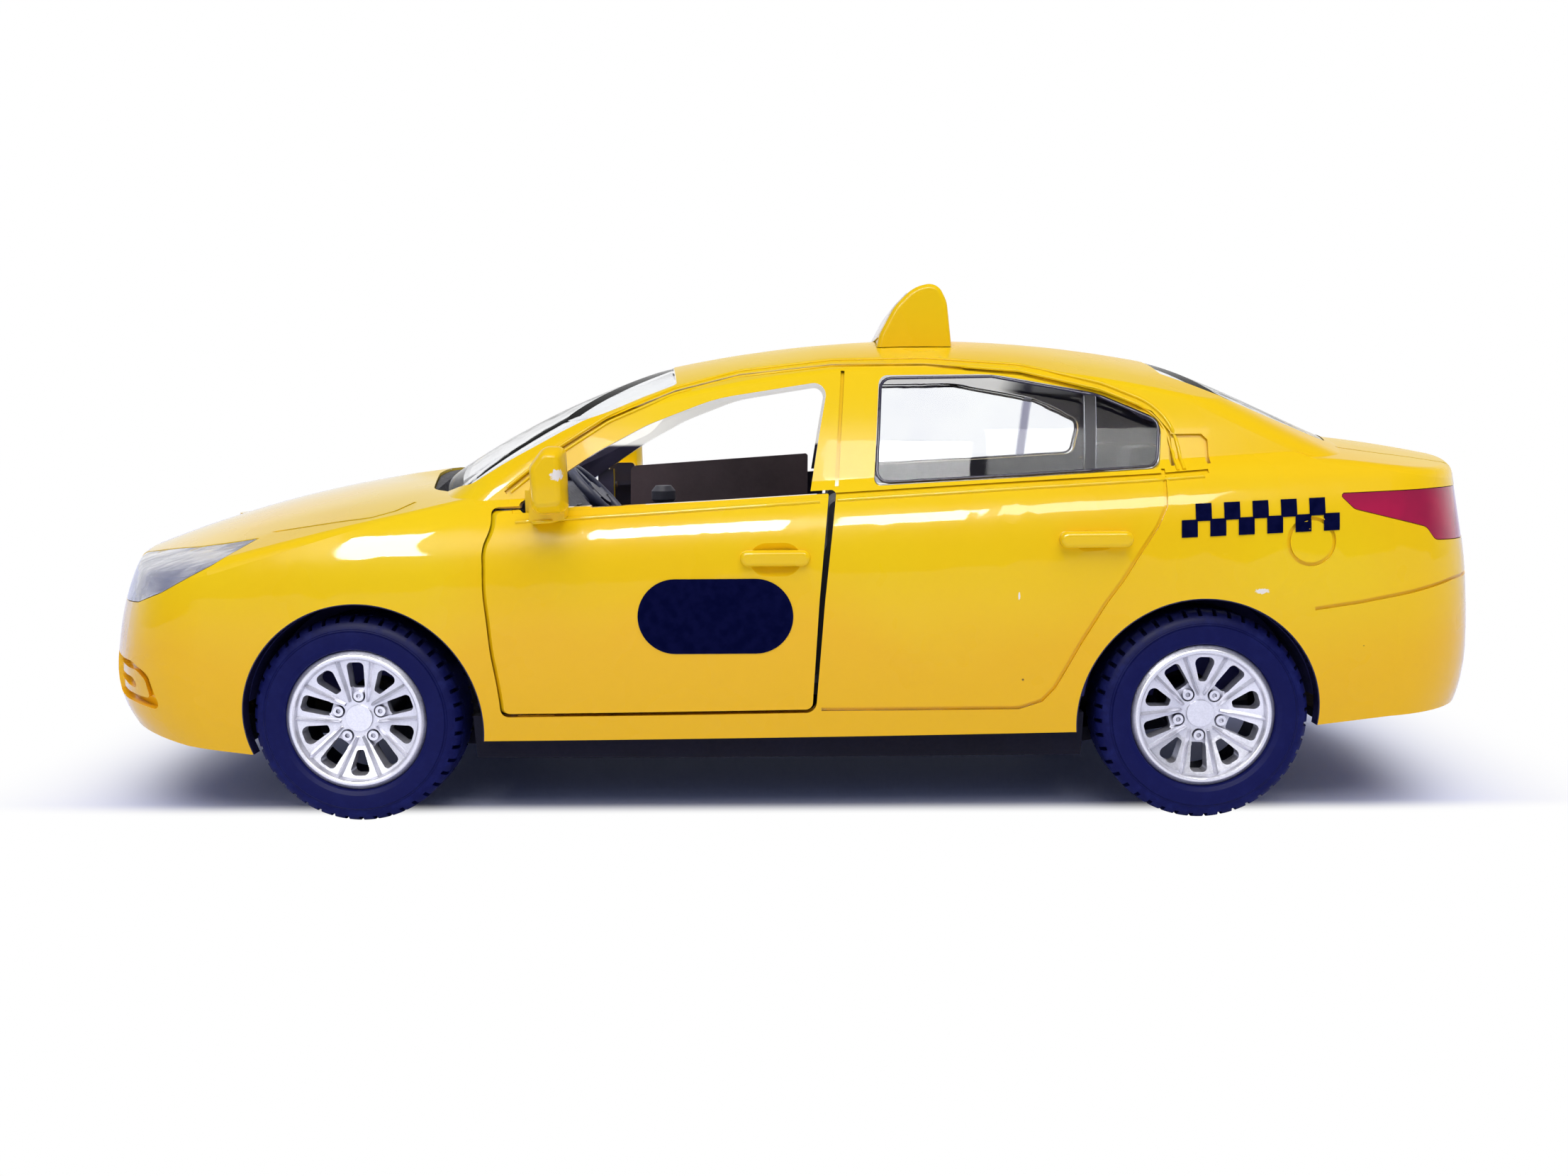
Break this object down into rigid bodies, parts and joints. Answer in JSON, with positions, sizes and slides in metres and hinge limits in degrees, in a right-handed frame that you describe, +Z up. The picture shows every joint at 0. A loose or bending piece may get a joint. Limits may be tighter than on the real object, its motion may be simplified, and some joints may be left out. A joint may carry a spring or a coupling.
{
  "type": "die-cast toy taxi",
  "caption": "Small die-cast toy saloon in taxi yellow with opening front doors, free-rolling wheels and a blank sign on the roof.",
  "frame": {"origin": "on the floor, under the middle of the overall length and width", "axes": "+X towards the nose, +Y to the car's left side, +Z up"},
  "size_m": [0.1229, 0.0538, 0.0446],
  "materials": {
    "yellow_paint": "glossy golden yellow enamel on zinc",
    "yellow_plastic": "glossy golden yellow",
    "clear_plastic": "clear polished",
    "silver_plastic": "silver plated plastic",
    "red_plastic": "glossy translucent red",
    "white_plastic": "glossy white",
    "black_plastic": "moulded satin black",
    "trim_plastic": "moulded satin brown-black",
    "steel": "plain zinc-plated",
    "tyre": "matt black rubber"
  },
  "bodies": {
    "body": {"body_shell": "yellow_paint", "windscreen": "clear_plastic", "rear_window": "clear_plastic", "rear_side_window_left": "clear_plastic", "rear_side_window_right": "clear_plastic", "headlamp_lens_left": "clear_plastic", "headlamp_lens_right": "clear_plastic", "headlamp_reflector_left": "silver_plastic", "headlamp_reflector_right": "silver_plastic", "tail_lamp_left": "red_plastic", "tail_lamp_right": "red_plastic", "roof_sign": "yellow_plastic", "roof_sign_face": "white_plastic", "chassis_base": "black_plastic", "base_screw_front": "steel", "base_screw_rear": "steel", "pull_back_motor": "black_plastic", "interior_floor": "black_plastic", "front_seat_left": "black_plastic", "front_seat_right": "black_plastic", "rear_seat": "black_plastic", "dashboard": "black_plastic", "steering_wheel": "black_plastic", "cowl_trim": "black_plastic", "upper_grille": "black_plastic", "lower_grille": "black_plastic"},
    "front_axle_set": {"front_axle": "steel", "front_rim_left": "silver_plastic", "front_rim_right": "silver_plastic", "front_tyre_left": "tyre", "front_tyre_right": "tyre"},
    "rear_axle_set": {"rear_axle": "steel", "rear_rim_left": "silver_plastic", "rear_rim_right": "silver_plastic", "rear_tyre_left": "tyre", "rear_tyre_right": "tyre"},
    "left_front_door": {"front_door_left": "yellow_paint", "door_card_left": "trim_plastic"},
    "right_front_door": {"front_door_right": "yellow_paint", "door_card_right": "trim_plastic"}
  },
  "joints": [
    {"name": "front_axle_roll", "type": "hinge", "parent": "body", "child": "front_axle_set", "pos_m": [0.0348, 0, 0.00865], "axis": [0, 1, 0], "continuous": true},
    {"name": "rear_axle_roll", "type": "hinge", "parent": "body", "child": "rear_axle_set", "pos_m": [-0.0347, 0, 0.00865], "axis": [0, 1, 0], "continuous": true},
    {"name": "left_front_door_hinge", "type": "hinge", "parent": "body", "child": "left_front_door", "pos_m": [0.0198, 0.0206, 0.0167], "axis": [0, 0, -1], "range_deg": [0, 60]},
    {"name": "right_front_door_hinge", "type": "hinge", "parent": "body", "child": "right_front_door", "pos_m": [0.0198, -0.0206, 0.0167], "axis": [0, 0, 1], "range_deg": [0, 60]}
  ]
}
